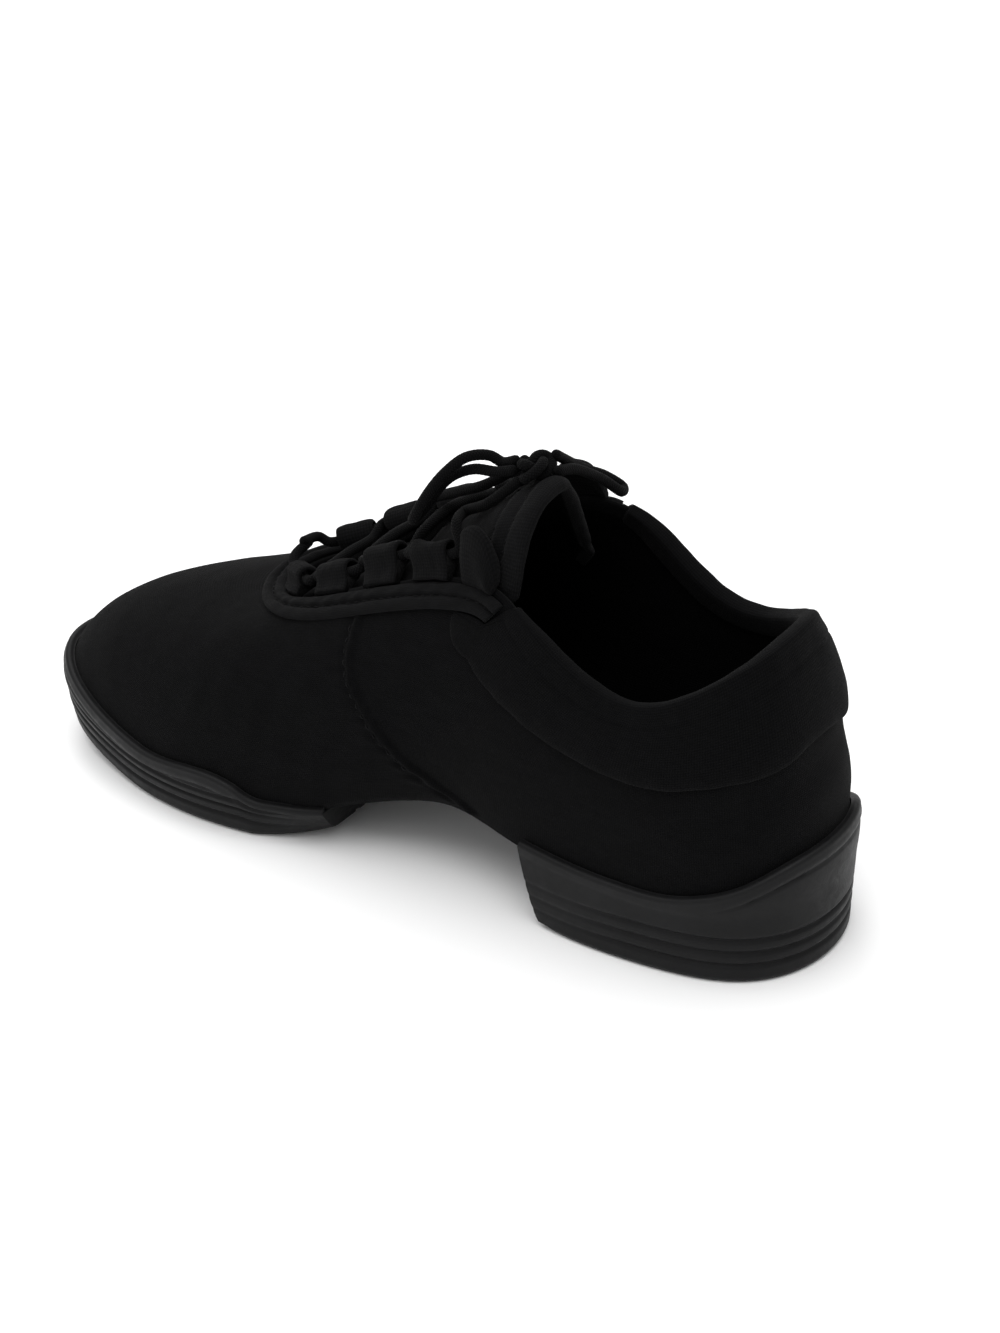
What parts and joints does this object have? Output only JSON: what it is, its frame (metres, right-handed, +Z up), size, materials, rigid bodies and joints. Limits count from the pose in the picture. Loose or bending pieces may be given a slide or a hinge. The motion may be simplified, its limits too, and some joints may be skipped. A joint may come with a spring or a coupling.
{
  "type": "dance sneaker",
  "caption": "Low black canvas lace-up dance shoe with a split rubber sole, a padded collar, folded lace tabs and a tied bow.",
  "frame": {"origin": "on the floor under the middle of the heel, at the heel sole's tread", "axes": "+X towards the toe, +Y towards the shoe's inner (big toe) side, +Z up"},
  "size_m": [0.2505, 0.0888, 0.1231],
  "materials": {
    "canvas": "matte cotton canvas",
    "rubber": "satin",
    "insole": "matte cloth over foam",
    "lace": "braided cord"
  },
  "bodies": {
    "root": {"upper": "canvas", "heel_sole": "rubber", "forefoot_sole": "rubber", "insole": "insole", "collar_cuff": "canvas", "eyestay": "canvas", "tongue": "canvas", "lace_tab_in_1": "canvas", "lace_tab_in_2": "canvas", "lace_tab_in_3": "canvas", "lace_tab_in_4": "canvas", "collar_ear_in": "canvas", "lace_tab_out_1": "canvas", "lace_tab_out_2": "canvas", "lace_tab_out_3": "canvas", "lace_tab_out_4": "canvas", "collar_ear_out": "canvas", "lace_crossings": "lace", "lace_knot": "lace", "lace_loop_near": "lace", "lace_loop_far": "lace", "lace_end_near": "lace", "lace_end_far": "lace"}
  },
  "joints": []
}
